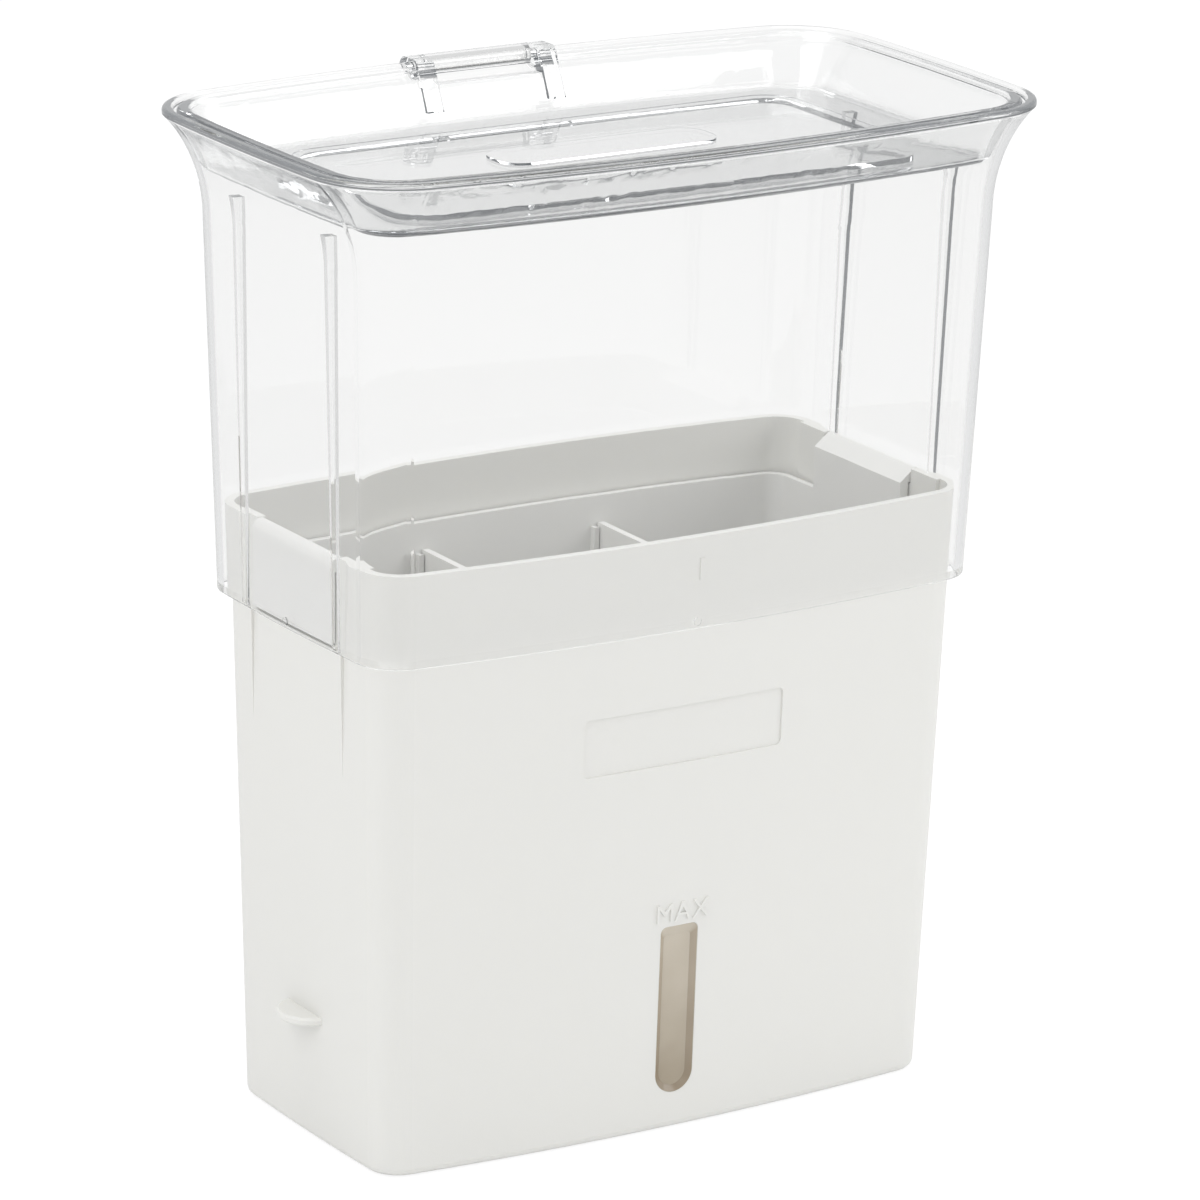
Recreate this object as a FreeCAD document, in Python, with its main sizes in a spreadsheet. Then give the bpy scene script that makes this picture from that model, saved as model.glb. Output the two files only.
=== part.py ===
import FreeCAD, Part
import math
import os

import Sketcher
from FreeCAD import Placement, Rotation, Vector

# Herb keeper: a tapered white reservoir with a lift-out basket, a clear cover
# that telescopes over it, and a clear tray lid hinged in the cover's flare.
# Millimetres, +Z up, origin at the middle of the base. The broad face with
# the level window looks along -Y.

DOC = FreeCAD.newDocument("HerbKeeper")
SHEET = DOC.addObject("Spreadsheet::Sheet", "Sizes")

# Every independent size, in millimetres or degrees: alias, value, meaning.
SIZES = [
    # reservoir
    ("side_taper", 3.8, "how far each narrow side comes in towards the floor"),
    ("front_taper", 3.5, "how far each broad face comes in towards the floor"),
    ("base_corner", 7.5, "plan corner radius at the floor"),
    ("collar_half_width", 73.8, "half width at the reservoir's rim"),
    ("collar_half_depth", 38.9, "half depth at the reservoir's rim"),
    ("collar_corner", 8.3, "plan corner radius at the rim"),
    ("collar_height", 134.4, "height of the reservoir's rim"),
    ("front_crown", 620.0, "plan radius of the front and back faces"),
    ("side_crown", 700.0, "plan radius of the two narrow faces"),
    ("wall", 2.0, "reservoir wall"),
    ("floor_thickness", 2.4, "reservoir floor"),
    ("base_edge", 1.6, "round under the reservoir"),
    # recesses in the narrow sides, for the basket's tabs and the cover's ribs
    ("recess_margin", 4.2, "width of a side recess beyond the cover's ribs"),
    ("recess_depth", 1.6, "depth of a side recess at the rim"),
    ("recess_height", 19.0, "height of a side recess"),
    ("recess_bevel", 4.9, "width of a side recess's slanted end"),
    ("rib_offset", 19.0, "distance of a cover rib from the middle plane"),
    ("rib_width", 2.2, "width of a cover rib"),
    ("rib_gap", 0.3, "clearance beside a rib in its channel"),
    ("rib_room", 1.3, "clearance in front of a rib's lower end in its channel"),
    ("rib_lean", 1.6, "how far a rib's inner face leans out up to its upper end"),
    ("rib_rise", 8.4, "height of a rib's upper end over the start of the flare"),
    # half-disc fins low on the narrow sides
    ("fin_radius", 7.7, "plan radius of a fin"),
    ("fin_reach", 5.9, "reach of a fin from the wall"),
    ("fin_underside", 27.2, "height of a fin's underside"),
    ("fin_thickness", 1.8, "thickness of a fin"),
    ("fin_edge", 0.5, "bevel on a fin's upper and lower edges"),
    # level window
    ("window_shift", 0.55, "sideways place of the window"),
    ("window_half", 4.75, "half width of the window's opening at the face"),
    ("window_bottom", 8.4, "lowest point of the window's opening"),
    ("window_top", 47.0, "top of the window's opening"),
    ("window_corner", 1.5, "radius of the opening's upper corners"),
    ("window_lip", 1.0, "wall left in front of the window's flange"),
    ("window_overlap", 1.25, "lap of the window's flange behind the opening"),
    ("window_fit", 0.03, "clearance of the window in its opening"),
    ("window_set_back", 0.1, "depth of the window's rim under the wall's face"),
    ("bevel_land", 0.15, "width of the window's rim round its bevel"),
    ("bevel_run", 1.25, "run of the bevel inside the rim"),
    ("bevel_head", 0.8, "further run of the bevel at the window's head"),
    ("bevel_depth", 0.8, "depth of the bevel"),
    ("bevel_corner", 0.8, "radius of the upper corners at the foot of the bevel"),
    ("window_floor", 1.0, "thickness of the window behind the bevel"),
    # raised level mark
    ("letter_lift", 1.2, "height of the level mark over the window's opening"),
    ("letter_shift", 0.6, "distance of its middle to the right of the window's"),
    ("letter_height", 4.1, "height of its letters"),
    ("letter_width", 3.9, "width of its letters"),
    ("letter_gap", 0.65, "gap between its letters"),
    ("letter_stroke", 0.55, "upright and level strokes of its letters"),
    ("letter_slant", 0.63, "slanting strokes, measured level"),
    ("letter_elbow", 1.05, "slanting strokes, measured upright"),
    ("letter_notch", 2.65, "depth of the notch in the M"),
    ("letter_bar", 1.15, "height of the bar of the A over its foot"),
    ("letter_waist", 0.39, "half width of the X at its middle"),
    ("letter_relief", 0.35, "relief of its letters"),
    # bare label field
    ("field_half", 25.0, "half width of the bare field"),
    ("field_bottom", 84.0, "height of the bare field"),
    ("field_height", 13.0, "height across the bare field"),
    ("field_depth", 0.35, "depth of the bare field"),
    ("field_corner", 1.3, "corner radius of the bare field"),
    # small ridge under the cover's lower edge
    ("ridge_shift", 2.0, "sideways place of the ridge"),
    ("ridge_half", 0.5, "half width of the ridge"),
    ("ridge_drop", 4.6, "distance of the ridge under the rim"),
    ("ridge_height", 4.9, "height of the ridge"),
    ("ridge_relief", 0.25, "relief of the ridge"),
    # basket
    ("basket_gap", 0.7, "running gap between basket and reservoir"),
    ("basket_wall", 1.6, "basket wall"),
    ("basket_bottom", 22.0, "underside of the basket"),
    ("basket_floor", 1.8, "basket floor"),
    ("basket_drop", 12.4, "distance of the basket's rim under the reservoir's"),
    ("tab_margin", 1.3, "gap between a lifting tab and the ribs beside it"),
    ("tab_cap", 3.1, "thickness over the reservoir's wall"),
    ("tab_seat", 0.3, "gap over and beside the wall that the tab straddles"),
    ("tab_round", 2.2, "round on the outer upper edge of a tab"),
    ("tab_drop", 18.5, "height of a tab's outer skirt"),
    ("tab_inset", 0.3, "set-back of a tab's skirt from the reservoir's face"),
    ("tab_crest", 2.5, "distance of a tab's highest edge from its outer face"),
    ("tab_fall", 2.9, "fall of a tab's top from there to its inner face"),
    ("tab_crease", 1.1, "height of the outer face between a tab's round and its skirt"),
    ("tab_stem", 0.25, "step of a tab's stem proud of the basket's wall"),
    ("drain_width", 3.0, "width of a drain slot"),
    ("drain_length", 20.0, "length of a floor slot"),
    ("drain_offset", 15.0, "distance of a row of floor slots from the middle"),
    ("drain_pitch", 9.0, "spacing of the drain slots"),
    ("drain_sill", 5.0, "height of the wall slots over the basket's floor"),
    ("drain_rise", 14.0, "height of a wall slot"),
    # dividers
    ("divider_offset", 22.5, "distance of a divider from the middle"),
    ("divider_thickness", 1.6, "divider thickness"),
    ("divider_drop", 6.0, "distance of a divider's top under the basket's rim"),
    ("divider_gap", 0.3, "clearance round a divider"),
    ("notch_half", 10.0, "half width of a divider's finger notch"),
    ("notch_depth", 8.0, "depth of a divider's finger notch"),
    ("rail_width", 1.2, "width of a divider rail"),
    ("rail_reach", 2.0, "reach of a divider rail from the basket's wall"),
    # cover
    ("cover_gap", 0.38, "gap between the cover and the reservoir's rim"),
    ("cover_corner", 9.4, "plan corner radius at the lower edge"),
    ("cover_overlap", 19.7, "how far the raised cover reaches down over the rim"),
    ("cover_height", 105.5, "height of the cover"),
    ("side_draft", 2.9, "how far a narrow side leans out up to the flare"),
    ("front_draft", 2.45, "how far a broad face leans out up to the flare"),
    ("shoulder_corner", 9.8, "plan corner radius where the flare starts"),
    ("flare_height", 24.2, "height of the flare with its rim"),
    ("side_flare", 9.2, "how far the flare runs out at the narrow sides"),
    ("front_flare", 8.2, "how far the flare runs out at the broad faces"),
    ("rim_corner", 19.3, "plan corner radius of the rim"),
    ("rim_band", 1.3, "height of the upright band at the rim"),
    ("rim_width", 2.4, "width of the cover's rim"),
    ("flare_turn", 50.0, "angle that the flare turns through"),
    ("rim_round", 0.8, "round on the upper edges of the cover's and the lid's rim"),
    ("cover_wall", 1.9, "cover wall"),
    ("lower_edge", 0.5, "round outside the lower edge"),
    ("lead_in", 0.8, "width of the bevel inside the lower edge"),
    ("lead_height", 1.6, "height of the bevel inside the lower edge"),
    ("nub_radius", 0.9, "radius of a small nub over the lower edge"),
    ("nub_height", 1.7, "height of a nub over the lower edge"),
    ("nub_relief", 0.25, "relief of a nub"),
    # lid
    ("lid_gap", 0.7, "gap between the lid's wall and the cover"),
    ("lid_drop", 0.3, "depth of the lid's rim under the cover's rim"),
    ("tray_depth", 13.2, "depth of the tray's underside below the cover's rim"),
    ("tray_floor", 1.8, "floor of the tray"),
    ("tray_wall", 2.0, "foot of the tray's wall"),
    ("tray_rim", 3.0, "width of the lid's rim"),
    ("tray_edge", 2.6, "round under the tray"),
    ("panel_margin", 13.4, "shelf between the raised panel and the tray's wall"),
    ("panel_corner", 8.0, "corner radius of the raised panel"),
    ("panel_rise", 1.2, "rise of the panel over the tray's floor"),
    ("badge_half_width", 26.9, "half width of the bare badge"),
    ("badge_half_depth", 6.9, "half depth of the bare badge"),
    ("badge_corner", 5.5, "corner radius of the bare badge"),
    ("badge_rise", 0.5, "rise of the badge over the panel"),
    # hinge
    ("hinge_shift", -1.3, "sideways place of the hinge's middle"),
    ("hinge_inset", 1.6, "distance of the hinge axis inside the rim's rear"),
    ("hinge_drop", 1.0, "depth of the hinge axis under the rim"),
    ("knuckle_radius", 2.4, "radius of barrel and ears"),
    ("barrel_half", 13.0, "half length of the barrel"),
    ("ear_width", 4.2, "width of an ear"),
    ("hinge_gap", 0.3, "clearance beside and round the ears"),
    ("pin_radius", 1.1, "radius of the hinge pin"),
    ("pin_running", 0.06, "running clearance round the pin in the barrel"),
    ("pin_seat", 0.02, "clearance round the pin in the ears"),
    ("slot_reach", 7.2, "reach of the ears' slots in front of the hinge axis"),
    ("leg_lift", 2.2, "height of a leg's lower end over the tray's floor"),
    ("leg_foot", 3.6, "reach of a leg's lower end from the rear wall"),
    ("leg_head", 5.4, "reach of a leg's upper end from the hinge axis"),
]

# Sections of the flare, and angles of the sections through rounded edges.
FLARE_SECTIONS = 7
EDGE_TURNS = (0.0, 22.5, 45.0, 67.5, 90.0)
FOOT_TURNS = (0, 30, 60, 90)
# How far cutters run past the faces that they cut.
PAST = 1.0
# Lengths that differ by less are equal, and changes in volume under LEAST are none.
CLOSE = 0.02
LEAST = 0.001
# Ends and faces by name, with the sign of the axis on which each one lies.
LEFT_RIGHT = (("Left", -1), ("Right", 1))
FRONT_BACK = (("Front", -1), ("Back", 1))


class Size:
    """A number together with the sheet expression that it comes from."""

    def __init__(self, value, text):
        self.value = float(value)
        self.text = text

    @staticmethod
    def of(other):
        if isinstance(other, Size):
            return other
        return Size(other, repr(float(other)))

    def join(self, other, sign, value):
        return Size(value, "(" + self.text + " " + sign + " " + other.text + ")")

    def __add__(self, other):
        other = Size.of(other)
        return self.join(other, "+", self.value + other.value)

    def __sub__(self, other):
        other = Size.of(other)
        return self.join(other, "-", self.value - other.value)

    def __mul__(self, other):
        other = Size.of(other)
        return self.join(other, "*", self.value * other.value)

    def __truediv__(self, other):
        other = Size.of(other)
        return self.join(other, "/", self.value / other.value)

    def __neg__(self):
        return Size(-self.value, "(0 - " + self.text + ")")


def fill_sheet():
    """Writes the sizes into the sheet and returns them by name."""
    named = {}
    for row, (alias, value, meaning) in enumerate(SIZES, start=1):
        SHEET.set("A" + str(row), alias)
        SHEET.set("B" + str(row), repr(value))
        SHEET.set("C" + str(row), meaning)
        SHEET.setAlias("B" + str(row), alias)
        named[alias] = Size(value, "Sizes." + alias)
    DOC.recompute()
    return named


S = fill_sheet()
ZERO = Size.of(0.0)

# Sizes that follow from the ones above: what fits together shares its values.
BASE_WIDTH = S["collar_half_width"] - S["side_taper"]
BASE_DEPTH = S["collar_half_depth"] - S["front_taper"]
RIB_INNER = S["rib_offset"] - S["rib_width"] / 2
RIB_OUTER = S["rib_offset"] + S["rib_width"] / 2
RECESS_HALF = RIB_OUTER + S["recess_margin"]
RECESS_FACE = S["collar_half_width"] - S["recess_depth"]
RECESS_INSIDE = RECESS_FACE - S["wall"]
TAB_HALF = RIB_INNER - S["tab_margin"]
BASKET_TOP = S["collar_height"] - S["basket_drop"]
BASKET_FLOOR = S["basket_bottom"] + S["basket_floor"]
DIVIDER_TOP = BASKET_TOP - S["divider_drop"]
COVER_WIDTH = S["collar_half_width"] + S["cover_gap"] + S["cover_wall"]
COVER_DEPTH = S["collar_half_depth"] + S["cover_gap"] + S["cover_wall"]
COVER_BOTTOM = S["collar_height"] - S["cover_overlap"]
RIM_TOP = COVER_BOTTOM + S["cover_height"]
SHOULDER = RIM_TOP - S["flare_height"]
SHOULDER_WIDTH = COVER_WIDTH + S["side_draft"]
SHOULDER_DEPTH = COVER_DEPTH + S["front_draft"]
RIM_WIDTH = SHOULDER_WIDTH + S["side_flare"]
RIM_DEPTH = SHOULDER_DEPTH + S["front_flare"]
FLARE_TOP = RIM_TOP - S["rim_band"]
RIB_TOP = SHOULDER + S["rib_rise"]
TRAY_BOTTOM = RIM_TOP - S["tray_depth"]
TRAY_FLOOR = TRAY_BOTTOM + S["tray_floor"]
LID_TOP = RIM_TOP - S["lid_drop"]
HINGE_X = S["hinge_shift"]
HINGE_Y = RIM_DEPTH - S["hinge_inset"]
HINGE_Z = RIM_TOP - S["hinge_drop"]


def ordered(first, second):
    """Two sizes, the smaller one first."""
    if first.value < second.value:
        return first, second
    return second, first


def bind(target, path, size):
    """Ties one property of an object to the sheet."""
    target.setExpression(path, Size.of(size).text)


def new_body(label):
    body = DOC.addObject("PartDesign::Body", label)
    body.Label = label
    return body


def origin_plane(body, role):
    for feature in body.Origin.OriginFeatures:
        if feature.Role == role:
            return feature
    raise ValueError("no plane " + role)


def new_sketch(body, name, role, offset, tilt=None):
    """A sketch on one of the body's planes, moved along and tilted about its own axes."""
    sketch = body.newObject("Sketcher::SketchObject", name)
    sketch.AttachmentSupport = [(origin_plane(body, role), "")]
    sketch.MapMode = "FlatFace"
    degrees = tilt.value if tilt is not None else 0.0
    turn = Rotation(Vector(1, 0, 0), degrees)
    sketch.AttachmentOffset = Placement(Vector(0, 0, offset.value), turn)
    bind(sketch, "AttachmentOffset.Base.z", offset)
    if tilt is not None:
        bind(sketch, "AttachmentOffset.Rotation.Angle", tilt)
    return sketch


def pin_point(sketch, geometry, point, x, y):
    """Fixes a point of the sketch at two sizes measured from the sketch's origin."""
    for kind, size in (("DistanceX", x), ("DistanceY", y)):
        size = Size.of(size)
        index = sketch.addConstraint(
            Sketcher.Constraint(kind, -1, 1, geometry, point, size.value))
        bind(sketch, "Constraints[" + str(index) + "]", size)


def set_radius(sketch, geometry, size):
    index = sketch.addConstraint(Sketcher.Constraint("Radius", geometry, size.value))
    bind(sketch, "Constraints[" + str(index) + "]", size)


def add_arc(sketch, centre, radius, start, end):
    circle = Part.Circle(Vector(centre[0], centre[1], 0), Vector(0, 0, 1), radius)
    return sketch.addGeometry(Part.ArcOfCircle(circle, start, end), False)


def circle_between(first, first_radius, second, second_radius, away):
    """Meeting point of two circles on the far side of the origin towards away."""
    dx = second[0] - first[0]
    dy = second[1] - first[1]
    span = math.hypot(dx, dy)
    along = (span * span + first_radius ** 2 - second_radius ** 2) / (2 * span)
    across = math.sqrt(max(0.0, first_radius ** 2 - along * along))
    best = None
    for sign in (-1, 1):
        x = first[0] + (dx * along - sign * dy * across) / span
        y = first[1] + (dy * along + sign * dx * across) / span
        if best is None or x * away[0] + y * away[1] > best[0] * away[0] + best[1] * away[1]:
            best = (x, y)
    return best


def crowned_sketch(body, name, height, half_width, half_depth, corner, front, side):
    """A rounded rectangle in plan whose four sides are slightly crowned arcs."""
    sketch = new_sketch(body, name, "XY_Plane", height)
    a, b, r = half_width.value, half_depth.value, corner.value
    sides = [
        ((0.0, front.value - b), front, (ZERO, front - half_depth)),
        ((a - side.value, 0.0), side, (half_width - side, ZERO)),
        ((0.0, b - front.value), front, (ZERO, half_depth - front)),
        ((side.value - a, 0.0), side, (side - half_width, ZERO)),
    ]
    corners = []
    for index, away in enumerate(((1, -1), (1, 1), (-1, 1), (-1, -1))):
        first, second = sides[index], sides[(index + 1) % 4]
        corners.append(circle_between(
            first[0], first[1].value - r, second[0], second[1].value - r, away))

    def angle(centre, corner_centre):
        return math.atan2(corner_centre[1] - centre[1], corner_centre[0] - centre[0])

    arcs = []
    for index, (centre, crown, pinned) in enumerate(sides):
        start = angle(centre, corners[index - 1])
        end = angle(centre, corners[index])
        if end < start:
            end += 2 * math.pi
        geometry = add_arc(sketch, centre, crown.value, start, end)
        pin_point(sketch, geometry, 3, pinned[0], pinned[1])
        set_radius(sketch, geometry, crown)
        arcs.append(geometry)
        following = sides[(index + 1) % 4][0]
        start = angle(centre, corners[index])
        end = angle(following, corners[index])
        if end < start:
            end += 2 * math.pi
        geometry = add_arc(sketch, corners[index], r, start, end)
        set_radius(sketch, geometry, corner)
        arcs.append(geometry)
    for index, geometry in enumerate(arcs):
        following = arcs[(index + 1) % 8]
        sketch.addConstraint(Sketcher.Constraint("Tangent", geometry, 2, following, 1))
    return sketch


def rounded_sketch(sketch, arcs):
    """Arcs given by centre, radius and angles, in order, joined by tangent lines."""
    drawn = []
    for (x, y), radius, start, end in arcs:
        x, y = Size.of(x), Size.of(y)
        start, end = math.radians(start), math.radians(end)
        geometry = add_arc(sketch, (x.value, y.value), radius.value, start, end)
        pin_point(sketch, geometry, 3, x, y)
        set_radius(sketch, geometry, radius)
        first = Vector(x.value + radius.value * math.cos(start),
                       y.value + radius.value * math.sin(start), 0)
        last = Vector(x.value + radius.value * math.cos(end),
                      y.value + radius.value * math.sin(end), 0)
        drawn.append((geometry, first, last))
    for index, (geometry, first, last) in enumerate(drawn):
        following, next_first, _ = drawn[(index + 1) % len(drawn)]
        line = sketch.addGeometry(Part.LineSegment(last, next_first), False)
        sketch.addConstraint(Sketcher.Constraint("Tangent", geometry, 2, line, 1))
        sketch.addConstraint(Sketcher.Constraint("Tangent", line, 2, following, 1))
    return sketch


def rounded_rectangle(sketch, half_width, half_depth, corner):
    x, y = half_width - corner, half_depth - corner
    return rounded_sketch(sketch, [
        ((x, -y), corner, -90, 0),
        ((x, y), corner, 0, 90),
        ((-x, y), corner, 90, 180),
        ((-x, -y), corner, 180, 270),
    ])


def window_outline(sketch, grow, corner, head=ZERO):
    """The window's outline, grown by one size and lowered at its head by another."""
    half = S["window_half"] + grow
    centre = S["window_shift"]
    foot = S["window_bottom"] + S["window_half"]
    top = S["window_top"] + grow - head - corner
    return rounded_sketch(sketch, [
        ((centre, foot), half, 180, 360),
        ((centre + half - corner, top), corner, 0, 90),
        ((centre - half + corner, top), corner, 90, 180),
    ])


def polygon(sketch, points):
    """A closed polygon with each corner pinned at its two sizes."""
    points = [(Size.of(x), Size.of(y)) for x, y in points]
    lines = []
    for index, (x, y) in enumerate(points):
        following = points[(index + 1) % len(points)]
        start = Vector(x.value, y.value, 0)
        end = Vector(following[0].value, following[1].value, 0)
        lines.append(sketch.addGeometry(Part.LineSegment(start, end), False))
    for index, line in enumerate(lines):
        following = lines[(index + 1) % len(lines)]
        sketch.addConstraint(Sketcher.Constraint("Coincident", line, 2, following, 1))
        pin_point(sketch, line, 1, points[index][0], points[index][1])
    return sketch


def rectangle(sketch, left, right, low, high):
    return polygon(sketch, [(left, low), (right, low), (right, high), (left, high)])


def disc(sketch, x, y, radius):
    x, y = Size.of(x), Size.of(y)
    circle = Part.Circle(Vector(x.value, y.value, 0), Vector(0, 0, 1), radius.value)
    geometry = sketch.addGeometry(circle, False)
    pin_point(sketch, geometry, 3, x, y)
    set_radius(sketch, geometry, radius)
    return sketch


def loft(body, kind, name, sketches, ruled):
    feature = body.newObject("PartDesign::" + kind, name)
    feature.Profile = sketches[0]
    feature.Sections = sketches[1:]
    feature.Ruled = ruled
    for sketch in sketches:
        sketch.Visibility = False
    return feature


def extrude(body, kind, name, sketch, length, reverse=False):
    """A Pad along the sketch's normal, or a Pocket against it, either one reversed on demand."""
    feature = body.newObject("PartDesign::" + kind, name)
    feature.Profile = sketch
    feature.Type = 0
    feature.Length = length.value
    bind(feature, "Length", length)
    feature.Reversed = reverse
    return feature


def mirror(body, name, originals, role):
    feature = body.newObject("PartDesign::Mirrored", name)
    feature.Originals = originals
    feature.MirrorPlane = (origin_plane(body, role), [""])
    body.Tip = feature
    return feature


def volume(body):
    DOC.recompute()
    return body.Shape.Volume


def must_grow(body, before, name):
    after = volume(body)
    if not after > before + LEAST:
        raise ValueError(name + " adds nothing")
    return after


def must_shrink(body, before, name):
    after = volume(body)
    if not after < before - LEAST:
        raise ValueError(name + " cuts nothing")
    return after


def edges_where(feature, test):
    names = []
    for index, edge in enumerate(feature.Shape.Edges, start=1):
        if test(edge.BoundBox):
            names.append("Edge" + str(index))
    return names


def round_edges(body, name, test, radius):
    """Rounds the edges whose boxes pass the test."""
    DOC.recompute()
    base = body.Tip
    names = edges_where(base, test)
    feature = body.newObject("PartDesign::Fillet", name)
    feature.Base = (base, names)
    feature.Radius = radius.value
    bind(feature, "Radius", radius)
    return feature


def lean(low, high, rise):
    """Angle in degrees by which a wall leans out between two sections."""
    run = high - low
    return Size(math.degrees(math.atan(run.value / rise.value)),
                "atan(" + run.text + " / " + rise.text + ")")


# ---------------------------------------------------------------- reservoir

def reservoir_section(height):
    """Half width, half depth and corner radius of the reservoir at a height."""
    share = height / S["collar_height"]
    width = BASE_WIDTH + (S["collar_half_width"] - BASE_WIDTH) * share
    depth = BASE_DEPTH + (S["collar_half_depth"] - BASE_DEPTH) * share
    corner = S["base_corner"] + (S["collar_corner"] - S["base_corner"]) * share
    return width, depth, corner


def inset_section(body, name, height, inset, width=None):
    """A section parallel to the reservoir's outside, moved in by one size."""
    full_width, depth, corner = reservoir_section(height)
    if width is None:
        width = full_width - inset
    return crowned_sketch(body, name, height, width, depth - inset, corner - inset,
                          S["front_crown"] - inset, S["side_crown"] - inset)


# Height at which the drafted wall comes out as far as the recess's face.
CHANNEL_FOOT = ((RECESS_FACE - BASE_WIDTH) * S["collar_height"]
                / (S["collar_half_width"] - BASE_WIDTH))
FRONT_LEAN = lean(BASE_DEPTH, S["collar_half_depth"], S["collar_height"])
CHANNEL_INNER = RIB_INNER - S["rib_gap"]
CHANNEL_OUTER = RIB_OUTER + S["rib_gap"]
FAR = RIM_WIDTH


def make_reservoir():
    body = new_body("reservoir")
    sections = []
    for turn in FOOT_TURNS:
        height = S["base_edge"] * (1 - math.cos(math.radians(turn)))
        inset = S["base_edge"] * (1 - math.sin(math.radians(turn)))
        sections.append(inset_section(body, "Foot" + str(turn), height, inset))
    sections.append(inset_section(body, "RimOutline", S["collar_height"], ZERO))
    loft(body, "AdditiveLoft", "Outside", sections, True)
    add_fins(body)
    hollow_out(body)
    cut_recesses(body)
    cut_channels(body)
    cut_window(body)
    cut_field(body)
    add_letters(body)
    add_ridges(body)
    return body


def add_fins(body):
    """Whole discs low on the narrow sides, whose inner parts the hollow takes away."""
    full = volume(body)
    low = S["fin_underside"]
    high = low + S["fin_thickness"]
    edge, radius = S["fin_edge"], S["fin_radius"]
    centre = reservoir_section(low)[0] + S["fin_reach"] - radius
    levels = [(low, radius - edge), (low + edge, radius), (high - edge, radius),
              (high, radius - edge)]
    for end, side in LEFT_RIGHT:
        sketches = []
        for index, (height, reach) in enumerate(levels):
            sketch = new_sketch(body, "Fin" + end + str(index), "XY_Plane", height)
            sketches.append(disc(sketch, centre * side, ZERO, reach))
        loft(body, "AdditiveLoft", "FinBody" + end, sketches, True)
        full = must_grow(body, full, "FinBody" + end)


def hollow_out(body):
    """Takes out the inside, which steps in behind the recessed ends."""
    full = volume(body)
    top = S["collar_height"]
    cavity = new_body("reservoir_cavity")
    sections = [inset_section(cavity, "FloorOutline", S["floor_thickness"], S["wall"]),
                inset_section(cavity, "MouthOutline", top, S["wall"])]
    loft(cavity, "AdditiveLoft", "Inside", sections, True)
    space = volume(cavity)
    reach = RECESS_HALF + S["wall"]
    for end, side in LEFT_RIGHT:
        sketch = new_sketch(cavity, "Step" + end, "XY_Plane", CHANNEL_FOOT)
        near, far = ordered(RECESS_INSIDE * side, FAR * side)
        rectangle(sketch, near, far, -reach, reach)
        extrude(cavity, "Pocket", "StepCut" + end, sketch, top - CHANNEL_FOOT + PAST, True)
        space = must_shrink(cavity, space, "StepCut" + end)
    hollow = body.newObject("PartDesign::Boolean", "Hollow")
    hollow.Type = "Cut"
    hollow.setObjects([cavity])
    must_shrink(body, full, "Hollow")


def cut_recesses(body):
    """Recesses with slanted ends, into which the basket's tabs hang."""
    full = volume(body)
    foot = S["collar_height"] - S["recess_height"]
    flat = RECESS_HALF - S["recess_bevel"]
    outline = [(RECESS_FACE, -flat), (S["collar_half_width"], -RECESS_HALF),
               (FAR, -RECESS_HALF), (FAR, RECESS_HALF),
               (S["collar_half_width"], RECESS_HALF), (RECESS_FACE, flat)]
    for end, side in LEFT_RIGHT:
        sketch = new_sketch(body, "RecessSketch" + end, "XY_Plane", foot)
        polygon(sketch, [(x * side, y) for x, y in outline])
        extrude(body, "Pocket", "Recess" + end, sketch, S["recess_height"] + PAST, True)
        full = must_shrink(body, full, "Recess" + end)


def cut_channels(body):
    """Channels of the cover's ribs and seats of the basket's tabs, at both ends."""
    full = volume(body)
    top = S["collar_height"]
    tab_space = TAB_HALF + S["tab_seat"]
    seat = top - S["tab_cap"] - S["tab_seat"]
    cuts = [
        ("Channel", RECESS_FACE,
         [(-CHANNEL_OUTER, -CHANNEL_INNER), (CHANNEL_INNER, CHANNEL_OUTER)], CHANNEL_FOOT),
        ("Seat", RECESS_INSIDE - PAST, [(-tab_space, tab_space)], seat),
    ]
    for name, inner_x, spans, low in cuts:
        sketch = new_sketch(body, name + "Sketch", "XY_Plane", low)
        for low_y, high_y in spans:
            rectangle(sketch, inner_x, FAR, low_y, high_y)
            rectangle(sketch, -FAR, -inner_x, low_y, high_y)
        extrude(body, "Pocket", name, sketch, top - low + PAST, True)
        full = must_shrink(body, full, name)


def front_sketch(body, name, outwards):
    """A sketch in the plane of the leaning front wall, moved outwards by one size."""
    return new_sketch(body, name, "XZ_Plane", BASE_DEPTH + outwards, FRONT_LEAN)


def cut_window(body):
    """The window's opening, with a rebate for its flange on the inside."""
    full = volume(body)
    mouth = front_sketch(body, "WindowMouthSketch", S["letter_relief"])
    window_outline(mouth, ZERO, S["window_corner"])
    extrude(body, "Pocket", "WindowMouth", mouth, S["letter_relief"] + S["wall"] + PAST)
    full = must_shrink(body, full, "WindowMouth")
    rebate = front_sketch(body, "WindowRebateSketch", -S["window_lip"])
    window_outline(rebate, S["window_overlap"], S["window_corner"])
    extrude(body, "Pocket", "WindowRebate", rebate, S["wall"] - S["window_lip"] + PAST)
    must_shrink(body, full, "WindowRebate")


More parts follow.
